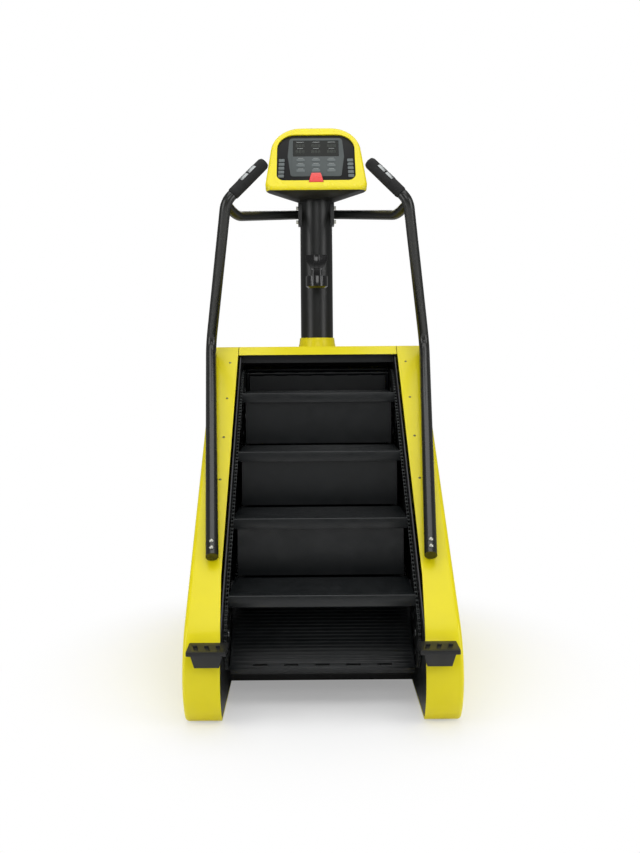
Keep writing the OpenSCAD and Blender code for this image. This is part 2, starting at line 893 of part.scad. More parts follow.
module foot_peg() {
    plate_t = 12;
    front = nose_y - face_r - peg_out;
    depth = peg_out + 60;
    x0 = peg_x - peg_w / 2;
    difference() {
        union() {
            hull() for (x = [x0 + 5, x0 + peg_w - 5]) for (y = [front + 5, front + depth])
                translate([x, y, peg_z - plate_t]) cylinder(r = 5, h = plate_t, $fn = 32);
            hull() {
                translate([x0 + 12, front + 10, peg_z - plate_t - 1]) cube([peg_w - 24, depth, 1]);
                translate([x0 + 22, front + 24, peg_z - 54]) cube([peg_w - 44, depth, 4]);
            }
        }
        translate([0, nose_y, nose_z]) rotate([0, 90, 0]) cylinder(r = face_r + 0.3, h = 800, $fn = 96);
        for (x = [-34, 0, 34]) translate([peg_x + x, front + 40, peg_z - 7])
            rotate([0, 0, -12]) translate([-6.5, -24, 0]) cube([13, 48, 10]);
    }
}

module foot_peg_left() {
    color("#1d1f20") mirror([1, 0, 0]) foot_peg();
}

module foot_peg_right() {
    color("#1d1f20") foot_peg();
}

// ---- Console ----

// The console face: x across, y up the face, z out of it.
module on_console() {
    translate([0, con_y, con_z]) rotate([90 - face_tilt, 0, 0]) children();
}

module console_outline(inset) {
    hull() for (s = [-1, 1]) {
        translate([s * 176, 24]) circle(max(34 - inset, 1));
        translate([s * 62, 195]) circle(128 - inset);
    }
}

module bezel_outline(grow) {
    hull() for (s = [-1, 1]) {
        translate([s * 132, 66]) circle(31 + grow);
        translate([s * 85, 203]) circle(77 + grow);
    }
}

module stop_outline(grow) {
    polygon([[-30 - grow, 26 - grow], [30 + grow, 26 - grow], [26 + grow, 46 + grow],
        [19 + grow, 73 + grow], [-19 - grow, 73 + grow], [-26 - grow, 46 + grow]]);
}

module console_solid(inset) {
    hull() {
        on_console() {
            translate([0, 0, -40]) linear_extrude(40 - 14) console_outline(inset);
            translate([0, 0, -20]) linear_extrude(20 - 5 - inset) console_outline(4 + inset);
            translate([0, 0, -20]) linear_extrude(20 - inset) console_outline(16 + inset);
        }
        on_console() {
            translate([0, 0, inset - 80]) linear_extrude(10) console_outline(14 + inset);
            translate([0, 0, inset - 108]) linear_extrude(10) console_outline(38 + inset);
        }
        translate([0, column_y + 2, con_cut - 8]) cylinder(r = 104 - inset, h = 74 - inset, $fn = 48);
        translate([0, column_y + 2, con_cut - 8]) cylinder(r = 84 - inset, h = 112 - inset, $fn = 48);
    }
}

module console_shell() {
    color("#e8d81e") difference() {
        console_solid(0);
        console_solid(3);
        translate([-300, -overall_l, con_cut - 60]) cube([600, 2 * overall_l, 60]);
        on_console() translate([0, 0, -30]) linear_extrude(40) bezel_outline(0.4);
        on_console() translate([0, 0, -30]) linear_extrude(40) stop_outline(0.8);
    }
}

module console_base() {
    // Levels of the bowl under the console: depth, half width and distance from the front.
    levels = [[5, 185, 22], [14, 140, 58], [20, 95, 92]];
    color("#121313") difference() {
        hull() {
            intersection() {
                console_solid(2);
                translate([-half_w, con_y - 40, con_cut - 2]) cube([overall_w, 400, 1.8]);
            }
            for (b = levels) for (s = [-1, 1])
                translate([s * (b[1] - 30), con_y + b[2] + 30, con_cut - b[0]])
                    cylinder(r = 30, h = 1, $fn = 32);
            translate([0, column_y, con_cut - 20]) cylinder(r = column_r + 8, h = 1, $fn = 64);
        }
        translate([0, column_y, con_cut - 60]) cylinder(r = column_r + 0.3, h = 100, $fn = 96);
    }
}

module console_bezel() {
    color("#16181a") on_console() difference() {
        translate([0, 0, bezel_face - 7]) linear_extrude(7) bezel_outline(0);
        translate([0, 0, -20]) linear_extrude(40) stop_outline(0.8);
    }
}

module console_overlay() {
    color("#6a6f6e") on_console() difference() {
        translate([0, 0, bezel_face]) linear_extrude(key_face - bezel_face) hull() for (s = [-1, 1]) {
            translate([s * 94, 70]) circle(12);
            translate([s * 104, 165]) circle(14);
            translate([s * 96, 246]) circle(16);
        }
        translate([0, 0, -20]) linear_extrude(40) stop_outline(0.8);
        translate([-96, 164, -6]) cube([192, 86, 10]);
    }
}

module display_lens() {
    color("#20251f") on_console() translate([-95, 165, bezel_face]) cube([190, 84, 1.2]);
}

module key(w, h, t) {
    linear_extrude(t) hull() for (x = [3 - w / 2, w / 2 - 3]) for (y = [3 - h / 2, h / 2 - 3])
        translate([x, y]) circle(3, $fn = 24);
}

module keypad() {
    color("#aab0b0") on_console() {
        for (x = [-64, 0, 64]) for (y = [143, 115, 87])
            translate([x, y, key_face]) key(34, 13, 1.4);
        for (s = [-1, 1]) for (i = [0:4])
            translate([s * (145 - 0.6 * i), 60 + 20.5 * i, bezel_face]) key(24, 15, 3);
    }
}

module stop_key() {
    key_low = -9;
    color("#e0261f") on_console() translate([0, 0, key_low])
        linear_extrude(key_face + stop_rise - key_low) stop_outline(0);
}

base_frame();
side_plate_left();
side_plate_right();
top_frame();
cover_left();
cover_right();
top_panel();
rear_cover();
cover_screws();
levelling_feet();
transport_wheel_left();
transport_wheel_right();
tread_1();
tread_2();
tread_3();
tread_4();
tread_5();
treads_return();
treads_top();
risers_incline();
riser_4();
riser_5();
risers_return();
risers_top();
step_axles();
lower_step_axle();
lower_sprockets();
lower_axles();
drive_shaft();
upper_sprockets();
bearings();
driven_sprocket();
step_chains();
drive_chain();
jackshaft();
drive_belt();
motor();
motor_pulley();
control_box();
power_inlet();
power_switch();
column();
column_collar();
bottle_holder();
handrail_left();
handrail_right();
crossbars();
rail_bolts();
grip_left();
grip_right();
sensor_plates();
foot_peg_left();
foot_peg_right();
console_shell();
console_base();
console_bezel();
console_overlay();
display_lens();
keypad();
stop_key();
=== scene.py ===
import json
import math

import bpy
from mathutils import Matrix, Vector

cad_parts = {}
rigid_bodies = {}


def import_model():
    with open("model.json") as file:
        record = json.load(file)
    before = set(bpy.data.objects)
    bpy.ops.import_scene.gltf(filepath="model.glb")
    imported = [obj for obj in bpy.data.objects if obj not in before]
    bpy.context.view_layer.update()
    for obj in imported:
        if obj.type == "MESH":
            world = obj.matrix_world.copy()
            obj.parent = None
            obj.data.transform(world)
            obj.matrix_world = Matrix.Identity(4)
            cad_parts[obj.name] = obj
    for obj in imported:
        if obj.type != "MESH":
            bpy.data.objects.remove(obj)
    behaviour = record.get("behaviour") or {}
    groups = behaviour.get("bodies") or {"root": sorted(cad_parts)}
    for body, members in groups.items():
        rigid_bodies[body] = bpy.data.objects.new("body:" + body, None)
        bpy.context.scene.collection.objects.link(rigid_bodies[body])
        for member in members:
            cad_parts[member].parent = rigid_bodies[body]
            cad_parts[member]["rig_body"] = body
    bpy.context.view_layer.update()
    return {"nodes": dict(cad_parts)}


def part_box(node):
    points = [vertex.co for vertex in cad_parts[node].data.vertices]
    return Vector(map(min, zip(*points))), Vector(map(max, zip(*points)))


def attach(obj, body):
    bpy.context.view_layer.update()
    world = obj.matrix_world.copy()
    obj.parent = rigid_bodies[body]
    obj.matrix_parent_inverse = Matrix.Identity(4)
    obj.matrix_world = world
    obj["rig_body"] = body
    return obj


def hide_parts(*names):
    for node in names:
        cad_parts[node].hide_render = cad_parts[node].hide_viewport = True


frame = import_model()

# ---- Studio ----
# A plain pale floor under a white surround, and a level camera in front of the steps.
# Softboxes stand on both sides, in front and behind, and a wide one hangs over the machine.
lens_mm = 38.62
sensor_mm = 36
eye = Vector((-0.033, -3.380, 1.153))
lean = math.radians(0.46)
camera_data = bpy.data.cameras.new("studio_camera")
camera_data.lens = lens_mm
camera_data.sensor_width = sensor_mm
camera_data.shift_x = 0.0123
camera_data.shift_y = -0.0932
camera = bpy.data.objects.new("studio_camera", camera_data)
camera.location = eye
camera.rotation_euler = (math.pi / 2, lean, 0)
bpy.context.scene.collection.objects.link(camera)
bpy.context.scene.camera = camera


def softbox(name, place, aim, width, height, power):
    """A soft rectangular lamp at place that shines towards aim."""
    data = bpy.data.lights.new(name, "AREA")
    data.shape = "RECTANGLE"
    data.size = width
    data.size_y = height
    data.energy = power
    lamp = bpy.data.objects.new(name, data)
    lamp.location = place
    lamp.rotation_euler = (Vector(aim) - Vector(place)).to_track_quat("-Z", "Y").to_euler()
    bpy.context.scene.collection.objects.link(lamp)


softbox("softbox_left", (-2.6, -1.6, 1.7), (0, 0.1, 1.2), 1.5, 2.6, 32)
softbox("softbox_right", (2.6, -1.6, 1.7), (0, 0.1, 1.2), 1.5, 2.6, 32)
softbox("softbox_above", (0, -0.6, 4.6), (0, 0, 0), 4.5, 4.5, 112)
softbox("softbox_front", (0.4, -4.6, 3.2), (0, 0, 0.9), 2.4, 1.6, 30)
softbox("softbox_behind", (0, 4.5, 3.0), (0, 0, 1.0), 3.0, 2.0, 50)


def linear(colour):
    """Turns an sRGB hex colour to the linear values that a shader takes, by the sRGB curve."""
    parts = [int(colour[i:i + 2], 16) / 255 for i in (1, 3, 5)]
    return [c / 12.92 if c <= 0.04045 else ((c + 0.055) / 1.055) ** 2.4 for c in parts] + [1]


def add_node(tree, kind, settings=None, sockets=None, links=None):
    """Adds a node with its settings, its sockets' values and its links."""
    node = tree.nodes.new(kind)
    for name, value in (settings or {}).items():
        setattr(node, name, value)
    for name, value in (sockets or {}).items():
        node.inputs[name].default_value = value
    for name, source in (links or {}).items():
        tree.links.new(source, node.inputs[name])
    return node


pure_white = (1, 1, 1, 1)
glow_strength = 0.22
world = bpy.data.worlds.new("white_surround")
world.use_nodes = True
sky = world.node_tree
sky.nodes.clear()
ray = add_node(sky, "ShaderNodeLightPath")
glow = add_node(sky, "ShaderNodeBackground", sockets={"Color": pure_white, "Strength": glow_strength})
white = add_node(sky, "ShaderNodeBackground", sockets={"Color": pure_white, "Strength": 1.0})
seen = add_node(sky, "ShaderNodeMixShader", links={"Fac": ray.outputs["Is Camera Ray"]})
sky.links.new(glow.outputs[0], seen.inputs[1])
sky.links.new(white.outputs[0], seen.inputs[2])
add_node(sky, "ShaderNodeOutputWorld", links={"Surface": seen.outputs[0]})
bpy.context.scene.world = world
bpy.context.scene.view_settings.view_transform = "Standard"


def coated(name, colour, rough, grain_mm, bump_mm, spread=0.10, coat=0.0, metallic=0.0, patchy=0.06,
           shine=0.5):
    """A painted or moulded surface with a drifting colour, an uneven gloss and a fine grain.

    spread and patchy are the shares by which its roughness and its colour go up and down.
    """
    noise_low = 0.3
    noise_high = 0.7
    coat_rough = 0.08
    material = bpy.data.materials.new(name)
    material.use_nodes = True
    tree = material.node_tree
    shader = tree.nodes["Principled BSDF"]
    place = add_node(tree, "ShaderNodeTexCoord").outputs["Object"]
    drift = add_node(
        tree, "ShaderNodeTexNoise", sockets={"Scale": 7.0, "Detail": 4.0}, links={"Vector": place})
    tone = add_node(tree, "ShaderNodeValToRGB", links={"Fac": drift.outputs["Fac"]})
    base = linear(colour)
    tone.color_ramp.elements[0].position = noise_low
    tone.color_ramp.elements[0].color = [c * (1 - patchy) for c in base[:3]] + [1]
    tone.color_ramp.elements[1].position = noise_high
    tone.color_ramp.elements[1].color = [min(1, c * (1 + patchy)) for c in base[:3]] + [1]
    handled = add_node(
        tree, "ShaderNodeTexNoise", sockets={"Scale": 23.0, "Detail": 6.0}, links={"Vector": place})
    gloss = add_node(
        tree, "ShaderNodeMapRange",
        sockets={"From Min": noise_low, "From Max": noise_high,
                 "To Min": rough * (1 - spread), "To Max": rough * (1 + spread)},
        links={"Value": handled.outputs["Fac"]})
    grain = add_node(
        tree, "ShaderNodeTexNoise", sockets={"Scale": 1000 / grain_mm, "Detail": 3.0},
        links={"Vector": place})
    bump = add_node(
        tree, "ShaderNodeBump", sockets={"Strength": 0.5, "Distance": bump_mm / 1000},
        links={"Height": grain.outputs["Fac"]})
    tree.links.new(tone.outputs["Color"], shader.inputs["Base Color"])
    tree.links.new(gloss.outputs["Result"], shader.inputs["Roughness"])
    tree.links.new(bump.outputs["Normal"], shader.inputs["Normal"])
    shader.inputs["Metallic"].default_value = metallic
    shader.inputs["Specular IOR Level"].default_value = shine
    shader.inputs["Coat Weight"].default_value = coat
    shader.inputs["Coat Roughness"].default_value = coat_rough
    return material


# The floor is lit near the machine and turns to plain white further away.
floor_size = 60
lit_reach = 0.5
white_reach = 1.15
floor_paint = coated("floor_pale_vinyl", "#FFFFFF", 0.8, 4.0, 0.02, patchy=0.0)
tree = floor_paint.node_tree
place = add_node(tree, "ShaderNodeTexCoord").outputs["Object"]
reach = add_node(
    tree, "ShaderNodeVectorMath", settings={"operation": "LENGTH"}, links={"Vector": place})
fade = add_node(
    tree, "ShaderNodeMapRange", settings={"interpolation_type": "SMOOTHSTEP"},
    sockets={"From Min": lit_reach, "From Max": white_reach, "To Min": 0.3},
    links={"Value": reach.outputs["Value"]})
ray = add_node(tree, "ShaderNodeLightPath")
share = add_node(tree, "ShaderNodeMath", settings={"operation": "MULTIPLY"})
tree.links.new(fade.outputs["Result"], share.inputs[0])
tree.links.new(ray.outputs["Is Camera Ray"], share.inputs[1])
plain = add_node(tree, "ShaderNodeEmission", sockets={"Color": pure_white, "Strength": 1.0})
blend = add_node(tree, "ShaderNodeMixShader", links={"Fac": share.outputs[0]})
tree.links.new(tree.nodes["Principled BSDF"].outputs[0], blend.inputs[1])
tree.links.new(plain.outputs[0], blend.inputs[2])
tree.links.new(blend.outputs[0], tree.nodes["Material Output"].inputs["Surface"])
bpy.ops.object.select_all(action="DESELECT")
bpy.ops.mesh.primitive_plane_add(size=floor_size, location=(0, 0, 0))
floor = bpy.context.object
floor.name = "studio_floor"
floor.data.materials.append(floor_paint)

# ---- Welded frame, side plates and feet ----
# The base rails, cross members and deck frame are mild steel tube with a satin black powder coat.
# The side plates are laser-cut sheet in the same coat. The levelling feet are black all over.
powder_black = coated("powder_coat_satin_black", "#0D0F10", 0.38, 0.9, 0.02)
foot_rubber = coated("moulded_rubber_black", "#191919", 0.75, 1.4, 0.05)


def take(*pieces):
    """Deselects everything else and makes the last of these pieces the active one."""
    bpy.ops.object.select_all(action="DESELECT")
    for piece in pieces:
        piece.select_set(True)
    bpy.context.view_layer.objects.active = pieces[-1]


def settle(piece, material, body):
    """Bakes a piece's place into its mesh, and gives it its material and body."""
    take(piece)
    bpy.ops.object.transform_apply(location=True, rotation=True, scale=True)
    piece.data.materials.clear()
    piece.data.materials.append(material)
    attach(piece, body)
    return piece


def finished(node, material, round_mm=0.0, smooth=32):
    """A closed copy of a CAD node with smooth shading and, if asked, rounded edges."""
    weld = 0.00002
    flat_angle = math.radians(0.8)
    sharp_angle = math.radians(50)
    piece = bpy.data.objects.new(node + "_finished", frame["nodes"][node].data.copy())
    bpy.context.scene.collection.objects.link(piece)
    take(piece)
    bpy.ops.mesh.customdata_custom_splitnormals_clear()
    bpy.ops.object.mode_set(mode="EDIT")
    bpy.ops.mesh.select_all(action="SELECT")
    bpy.ops.mesh.remove_doubles(threshold=weld)
    if round_mm:
        bpy.ops.mesh.dissolve_limited(angle_limit=flat_angle)
    bpy.ops.object.mode_set(mode="OBJECT")
    if round_mm:
        edge = piece.modifiers.new("edge", "BEVEL")
        edge.width = round_mm / 1000
        edge.segments = 2
        edge.limit_method = "ANGLE"
        edge.angle_limit = sharp_angle
        bpy.ops.object.modifier_apply(modifier="edge")
    bpy.ops.object.shade_smooth_by_angle(angle=math.radians(smooth))
    settle(piece, material, frame["nodes"][node]["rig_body"])
    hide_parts(node)
    return piece


for node in ("base_frame", "top_frame", "side_plate_left", "side_plate_right"):
    finished(node, powder_black)
finished("levelling_feet", foot_rubber)
wheel_rubber = coated("cast_rubber_grey", "#242424", 0.7, 1.2, 0.05)
for node in ("transport_wheel_left", "transport_wheel_right"):
    finished(node, wheel_rubber)

# ---- Covers ----
# Both side covers, the deck panel and the column's collar are formed sheet in a gloss yellow coat.
# The coat has a faint orange peel. The rear cover is a moulded black sheet with louvres.
gloss_yellow = coated(
    "gloss_coat_yellow", "#E6D808", 0.34, 3.5, 0.03, coat=0.12, patchy=0.03, shine=0.3)
for node in ("cover_left", "cover_right", "top_panel", "column_collar"):
    finished(node, gloss_yellow, smooth=38)
grained_black = coated("moulded_abs_grained_black", "#0B0C0D", 0.52, 1.0, 0.05)
finished("rear_cover", grained_black)
# A black seal closes the slit between the rear cover and the deck panel.
panel_sheet = 0.0031
seal_slack = (0.004, 0.0006, 0.0002)
low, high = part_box("rear_cover")
deck_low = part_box("top_panel")[1].z - panel_sheet
bpy.ops.object.select_all(action="DESELECT")
bpy.ops.mesh.primitive_cube_add(
    size=1, location=(0, (low.y + high.y) / 2, (high.z + deck_low) / 2),
    scale=(high.x - low.x - seal_slack[0], high.y - low.y - seal_slack[1],
           deck_low - high.z - seal_slack[2]))
seal = bpy.context.object
seal.name = "rear_cover_seal"
settle(seal, grained_black, "frame")
finished("power_inlet", grained_black)
switch_red = coated("moulded_abs_red", "#B3261C", 0.32, 1.0, 0.02)
finished("power_switch", switch_red, 0.5)
zinc = coated("zinc_plated_steel", "#B8B8AE", 0.30, 0.8, 0.01, metallic=1.0)
screw_zinc = coated("dull_zinc_screw", "#7C7958", 0.42, 0.8, 0.01, metallic=0.7)
finished("cover_screws", screw_zinc)

# ---- Steps ----
# Treads and risers are aluminium with a satin black coat. Shoes leave pale dust in patches on
# the faces that look upwards.
step_coat = coated("coated_aluminium_step", "#0B0F11", 0.36, 1.1, 0.03, spread=0.22, patchy=0.14)
tree = step_coat.node_tree
shader = tree.nodes["Principled BSDF"]
place = add_node(tree, "ShaderNodeTexCoord").outputs["Object"]
stretch = add_node(
    tree, "ShaderNodeMapping", sockets={"Scale": (1.0, 5.0, 5.0)}, links={"Vector": place})
trodden = add_node(
    tree, "ShaderNodeTexNoise", sockets={"Scale": 16.0, "Detail": 8.0, "Roughness": 0.7},
    links={"Vector": stretch.outputs["Vector"]})
normal = add_node(tree, "ShaderNodeNewGeometry").outputs["Normal"]
upright = add_node(tree, "ShaderNodeSeparateXYZ", links={"Vector": normal})
upward = add_node(
    tree, "ShaderNodeMapRange", sockets={"From Min": 0.55, "From Max": 0.95},
    links={"Value": upright.outputs["Z"]})
patches = add_node(
    tree, "ShaderNodeMapRange", sockets={"From Min": 0.42, "From Max": 0.72, "To Max": 0.45},
    links={"Value": trodden.outputs["Fac"]})
amount = add_node(tree, "ShaderNodeMath", settings={"operation": "MULTIPLY"})
tree.links.new(upward.outputs["Result"], amount.inputs[0])
tree.links.new(patches.outputs["Result"], amount.inputs[1])
dusty = add_node(
    tree, "ShaderNodeMixRGB", sockets={"Color2": linear("#2A2F31")}, links={"Fac": amount.outputs[0]})
tree.links.new(shader.inputs["Base Color"].links[0].from_socket, dusty.inputs["Color1"])
tree.links.new(dusty.outputs["Color"], shader.inputs["Base Color"])
for node in ("tread_1", "tread_2", "tread_3", "tread_4", "tread_5"):
    finished(node, step_coat, 0.7)
for node in ("treads_return", "treads_top", "risers_incline", "riser_4", "riser_5",
             "risers_return", "risers_top"):
    finished(node, step_coat)

# ---- Axles, sprockets and step chains ----
# Nose axles and shafts are bright drawn bar, and the sprockets are cut from plate and oiled.
# Each step chain is roller chain of 15.875 mm pitch, with plates in pairs on every pin.
bright_bar = coated("drawn_steel_bright", "#9A9C9C", 0.28, 0.6, 0.008, metallic=1.0)
oiled_steel = coated(
    "oiled_steel_plate", "#3C3E3E", 0.40, 0.8, 0.015, metallic=1.0, spread=0.3, patchy=0.2)
for node in ("step_axles", "lower_step_axle", "lower_axles", "drive_shaft", "jackshaft",
             "motor_pulley"):
    finished(node, bright_bar)
for node in ("lower_sprockets", "upper_sprockets", "driven_sprocket", "drive_chain"):
    finished(node, oiled_steel)

pitch = 0.015875
pin_count = 190
chain_x = 0.3035
lower_teeth = 42
upper_teeth = 74
plate_thick = 0.0008
inner_plate_x = 0.0028
outer_plate_x = 0.0037


def wheel_of(node, teeth):
    """Centre, seen from the side, and pitch radius of a sprocket."""
    low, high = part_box(node)
    return Vector(((low.y + high.y) / 2, (low.z + high.z) / 2)), teeth * pitch / (2 * math.pi)


low_centre, low_radius = wheel_of("lower_sprockets", lower_teeth)
top_centre, top_radius = wheel_of("upper_sprockets", upper_teeth)
span = top_centre - low_centre
flare = math.asin((top_radius - low_radius) / span.length)
straight = span.length * math.cos(flare)
climb = math.atan2(span.y, span.x) + flare
descend = climb - 2 * flare
top_arc = top_radius * (math.pi + 2 * flare)
low_arc = low_radius * (math.pi - 2 * flare)


def turned(centre, radius, angle):
    """The point of a circle that lies at an angle from its plane's first axis."""
    return centre + radius * Vector((math.cos(angle), math.sin(angle)))


def chain_point(s):
    """A point of the chain's line, s metres along it from where the climbing run starts."""
    s %= 2 * straight + top_arc + low_arc
    if s < straight:
        start = turned(low_centre, low_radius, climb + math.pi / 2)
        return start + s * turned(Vector((0, 0)), 1, climb)
    s -= straight
    if s < top_arc:
        return turned(top_centre, top_radius, climb + math.pi / 2 - s / top_radius)
    s -= top_arc
    if s < straight:
        start = turned(top_centre, top_radius, descend - math.pi / 2)
        return start - s * turned(Vector((0, 0)), 1, descend)
    return turned(low_centre, low_radius, descend - math.pi / 2 - (s - straight) / low_radius)


def link_plate(thick):
    """One waisted link plate, flat on X, that reaches from one pin to the next along Y."""
    eye_r = 0.0058
    waist_r = 0.0042
    corners = []
    for centre, start, waist in ((pitch / 2, -70, waist_r), (-pitch / 2, 110, -waist_r)):
        for step in range(8):
            angle = math.radians(start + step * 20)
            corners.append((0, centre + eye_r * math.cos(angle), eye_r * math.sin(angle)))
        corners.append((0, 0, waist))
    mesh = bpy.data.meshes.new("link_plate")
    mesh.from_pydata(corners, [], [list(range(len(corners)))])
    plate = bpy.data.objects.new("link_plate", mesh)
    bpy.context.scene.collection.objects.link(plate)
    take(plate)
    bpy.ops.object.mode_set(mode="EDIT")
    bpy.ops.mesh.select_all(action="SELECT")
    bpy.ops.mesh.extrude_region_move(TRANSFORM_OT_translate={"value": (thick, 0, 0)})
    bpy.ops.mesh.select_all(action="SELECT")
    bpy.ops.mesh.normals_make_consistent(inside=False)
    bpy.ops.object.mode_set(mode="OBJECT")
    return plate


plate = link_plate(plate_thick)
across = (0, math.pi / 2, 0)
bpy.ops.object.select_all(action="DESELECT")
bpy.ops.mesh.primitive_cylinder_add(vertices=14, radius=0.0050, depth=0.0054, rotation=across)
roller = bpy.context.object
bpy.ops.object.transform_apply(rotation=True)
bpy.ops.mesh.primitive_cylinder_add(vertices=10, radius=0.0024, depth=0.0098, rotation=across)
pin = bpy.context.object
bpy.ops.object.transform_apply(rotation=True)
runs = {"climbing_steps": [], "upper_turn": [], "returning_steps": [], "lower_turn": []}
for i in range(pin_count):
    here, there = chain_point(i * pitch), chain_point((i + 1) * pitch)
    if i * pitch < straight:
        body = "climbing_steps"
    elif i * pitch < straight + top_arc:
        body = "upper_turn"
    elif i * pitch < 2 * straight + top_arc:
        body = "returning_steps"
    else:
        body = "lower_turn"
    middle = (here + there) / 2
    turn = Matrix.Rotation(math.atan2(there.y - here.y, there.x - here.x), 4, "X")
    offset = inner_plate_x if i % 2 else outer_plate_x
    for side in (-1, 1):
        for shift in (offset, -offset - plate_thick):
            mesh = plate.data.copy()
            mesh.transform(Matrix.Translation((side * chain_x + shift, middle.x, middle.y)) @ turn)
            runs[body].append(mesh)
        for part in (roller, pin):
            mesh = part.data.copy()
            mesh.transform(Matrix.Translation((side * chain_x, here.x, here.y)))
            runs[body].append(mesh)
for body, meshes in runs.items():
    links = []
    for mesh in meshes:
        link = bpy.data.objects.new("step_chain_" + body, mesh)
        bpy.context.scene.collection.objects.link(link)
        links.append(link)
    take(*links)
    bpy.ops.object.join()
    chain = settle(bpy.context.object, oiled_steel, body)
    chain.name = "step_chain_" + body
    if body == "climbing_steps":
        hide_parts("step_chains")
for part in (plate, roller, pin):
    bpy.data.objects.remove(part)

# ---- Drive ----
# The motor and its control box are grey-painted castings and folded sheet, low in the base.
# A flat rubber belt and a chain bring the motor's speed down to the upper shaft.
motor_paint = coated("enamel_machine_grey", "#4D5357", 0.45, 2.0, 0.04)
for node in ("motor", "control_box", "bearings"):
    finished(node, motor_paint)
finished("drive_belt", foot_rubber)

# ---- Column ----
# A wide steel tube in a smoother satin black coat, bolted to the deck frame through its flange.
# The bottle holder is one gloss black moulding on the front of the tube.
column_coat = coated("powder_coat_satin_black_column", "#0C0E0D", 0.34, 0.9, 0.015, spread=0.03)
finished("column", column_coat)
gloss_black = coated("moulded_abs_gloss_black", "#0B0B0C", 0.16, 2.0, 0.015, coat=0.5)
finished("bottle_holder", gloss_black, 1.4, smooth=40)

# ---- Handrails and crossbars ----
# Bent steel tube, 42 mm across, in a dark olive-grey coat; the crossbars are black.
# Each crossbar is welded to its rail, and the rail's foot is bolted to the cover and plugged.
rail_coat = coated("powder_coat_olive_grey", "#151613", 0.28, 0.9, 0.015, coat=0.2)
for node in ("handrail_left", "handrail_right"):
    finished(node, rail_coat, smooth=40)
finished("crossbars", column_coat, smooth=40)
finished("rail_bolts", zinc, smooth=40)
rail_r = 0.021
rail_wall = 0.0032
plug_thick = 0.006
plug_round = 0.0015
plug_up = 0.012
rail_foot = Vector((0.353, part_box("handrail_right")[0].y + 0.0145, 0.478))
rail_up = Vector((0.079, 0.757, 0.688)).normalized()
for side in (-1, 1):
    bpy.ops.object.select_all(action="DESELECT")
    bpy.ops.mesh.primitive_cylinder_add(vertices=48, radius=rail_r - rail_wall, depth=plug_thick)
    plug = bpy.context.object
    plug.name = "rail_plug_left" if side < 0 else "rail_plug_right"
    bpy.ops.object.mode_set(mode="EDIT")
    bpy.ops.mesh.select_all(action="SELECT")
    bpy.ops.mesh.bevel(offset=plug_round, segments=3)
    bpy.ops.object.mode_set(mode="OBJECT")
    way = Vector((side * rail_up.x, rail_up.y, rail_up.z))
    foot = Vector((side * rail_foot.x, rail_foot.y, rail_foot.z))
    aimed = way.to_track_quat("Z", "Y").to_matrix().to_4x4()
    plug.matrix_world = Matrix.Translation(foot + way * plug_up) @ aimed
    bpy.ops.object.shade_smooth_by_angle(angle=math.radians(40))
    settle(plug, grained_black, "frame")

# ---- Grips ----
# A sleeve of closed-cell foam is drawn over the end of each rail and closed with a round cap.
# Two bent stainless plates on each sleeve read the user's pulse.
foam = coated("closed_cell_foam_black", "#0D0E0D", 0.78, 1.6, 0.25, spread=0.08, patchy=0.10)
sensor_steel = coated("brushed_stainless", "#9A9D9D", 0.34, 0.7, 0.01, metallic=1.0, spread=0.25)
grip_r = 0.024
grip_fit = 0.99
grip_rings = 24
dome_long = 0.019
collar_long = 0.004
corner = Vector((0.345, 0.080, 1.706))
tip = Vector((0.208, 0.140, 1.857))
grip_way = (tip - corner).normalized()
grip_root = corner + grip_way * 0.036
past_tip = 0.0175
grip_long = (tip - grip_root).length + past_tip
for side, node in ((-1, "grip_left"), (1, "grip_right")):
    bpy.ops.object.select_all(action="DESELECT")
    bpy.ops.mesh.primitive_cylinder_add(vertices=64, radius=grip_r, depth=grip_long)
    grip = bpy.context.object
    grip.name = node + "_foam"
    bpy.ops.object.mode_set(mode="EDIT")
    for ring in range(1, grip_rings):
        bpy.ops.mesh.select_all(action="SELECT")
        bpy.ops.mesh.bisect(
            plane_co=(0, 0, grip_long * (ring / grip_rings - 0.5)), plane_no=(0, 0, 1),
            use_fill=False)
    bpy.ops.object.mode_set(mode="OBJECT")
    for vertex in grip.data.vertices:
        along = vertex.co.z + grip_long / 2
        rest = grip_long - along
        dome = math.sqrt(max(0.0, 1 - max(0.0, 1 - rest / dome_long) ** 2)) * 0.94 + 0.06
        collar = 1 - 0.16 * max(0.0, 1 - along / collar_long) ** 2
        swell = 1 + 0.012 * math.sin(math.pi * along / grip_long)
        vertex.co.x *= dome * collar * swell * grip_fit
        vertex.co.y *= dome * collar * swell * grip_fit
    way = Vector((side * grip_way.x, grip_way.y, grip_way.z))
    middle = grip_root + grip_way * grip_long / 2
    aimed = way.to_track_quat("Z", "Y").to_matrix().to_4x4()
    grip.matrix_world = Matrix.Translation((side * middle.x, middle.y, middle.z)) @ aimed
    bpy.ops.object.shade_smooth_by_angle(angle=math.radians(50))
    settle(grip, foam, "frame")
    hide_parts(node)
finished("sensor_plates", sensor_steel, 0.3, smooth=40)

# ---- Foot pegs ----
# Glass-filled nylon mouldings that stand out in front of the covers, with three slots in each.
for node in ("foot_peg_left", "foot_peg_right"):
    finished(node, grained_black, 1.2, smooth=40)

# ---- Console ----
# The console's shell is a deep, rounded gloss yellow moulding over a black belly on the column.
# Its face leans back; a dark frame in it carries the grey key film, the display and the stop key.
face_lean = 28.7
face_turn = math.radians(90 - face_lean)
face_up = Vector((0, math.cos(face_turn), math.sin(face_turn)))
face_out = Vector((0, -math.sin(face_turn), math.cos(face_turn)))
low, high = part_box("display_lens")
lens_up = 0.207
lens_in = 0.0044
face_foot = (low + high) / 2 - face_up * lens_up + face_out * lens_in
face_place = Matrix.Translation(face_foot) @ Matrix.Rotation(face_turn, 4, "X")


